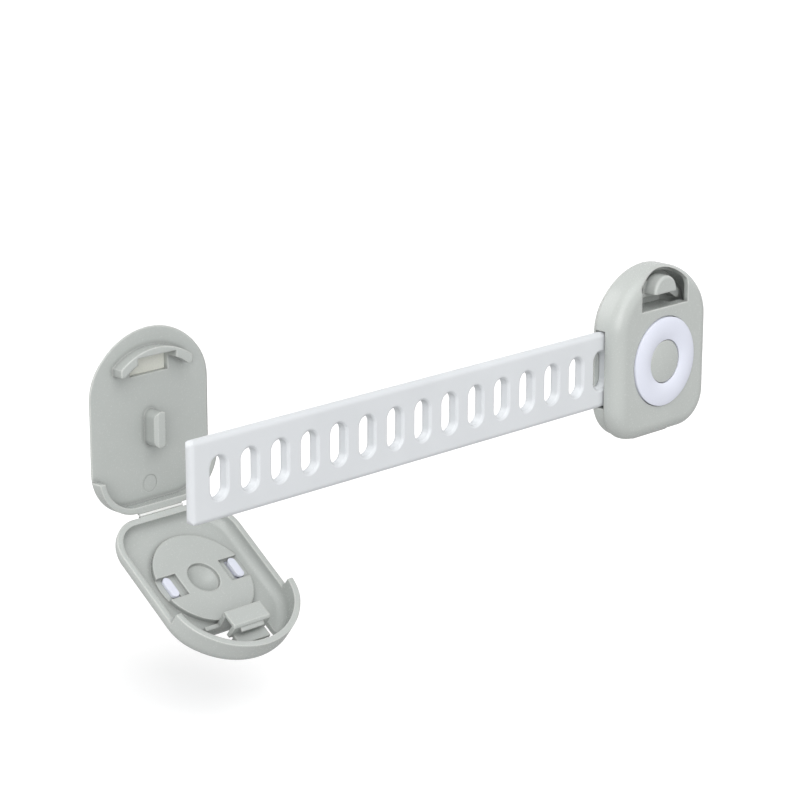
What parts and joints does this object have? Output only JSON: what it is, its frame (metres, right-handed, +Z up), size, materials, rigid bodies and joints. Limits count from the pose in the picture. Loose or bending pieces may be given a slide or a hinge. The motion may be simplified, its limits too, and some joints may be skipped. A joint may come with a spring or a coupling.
{
  "type": "cabinet safety lock",
  "caption": "Stick-on cabinet safety lock: a slotted strap held between hinged lock units with snap covers, finger latches and round trim rings; one unit closed on the strap, one open.",
  "frame": {"origin": "on the stick-on face of the right lock's foam pad, level with the strap's centre line and on the lock's middle", "axes": "+X along the strap to the right, +Y into the furniture the lock is stuck to, +Z up"},
  "size_m": [0.1856, 0.0613, 0.0813],
  "materials": {
    "strap": "satin",
    "lock_plastic": "satin",
    "ring": "gloss",
    "foam": "matte"
  },
  "bodies": {
    "right_base": {"right_base_plate": "lock_plastic", "right_living_hinge": "lock_plastic", "right_adhesive_pad": "foam", "slotted_strap": "strap"},
    "right_cover": {"right_cover_shell": "lock_plastic", "right_trim_ring": "ring"},
    "right_latch": {"right_latch_clip": "lock_plastic"},
    "left_base": {"left_base_plate": "lock_plastic", "left_living_hinge": "lock_plastic", "left_adhesive_pad": "foam"},
    "left_cover": {"left_cover_shell": "lock_plastic", "left_trim_ring": "ring"},
    "left_latch": {"left_latch_clip": "lock_plastic"}
  },
  "joints": [
    {"name": "right_cover_fold", "type": "hinge", "parent": "right_base", "child": "right_cover", "pos_m": [0, -0.0058, -0.0214], "axis": [1, 0, 0], "range_deg": [0, 165]},
    {"name": "right_latch_press", "type": "slide", "parent": "right_cover", "child": "right_latch", "axis": [0, 0, -1], "range_m": [0, 0.0012], "stiffness_N_per_m": 3000},
    {"name": "left_lock_approach", "type": "slide", "parent": "right_base", "child": "left_base", "axis": [-0.0721, -0.9956, 0.0601], "range_m": [0, 0.04992]},
    {"name": "left_cover_fold", "type": "hinge", "parent": "left_base", "child": "left_cover", "pos_m": [-0.1342, 0.0439, -0.0244], "axis": [1, 0, 0], "range_deg": [-126, 39]},
    {"name": "left_latch_press", "type": "slide", "parent": "left_cover", "child": "left_latch", "axis": [0, 0.809, 0.5878], "range_m": [0, 0.0012], "stiffness_N_per_m": 3000}
  ]
}
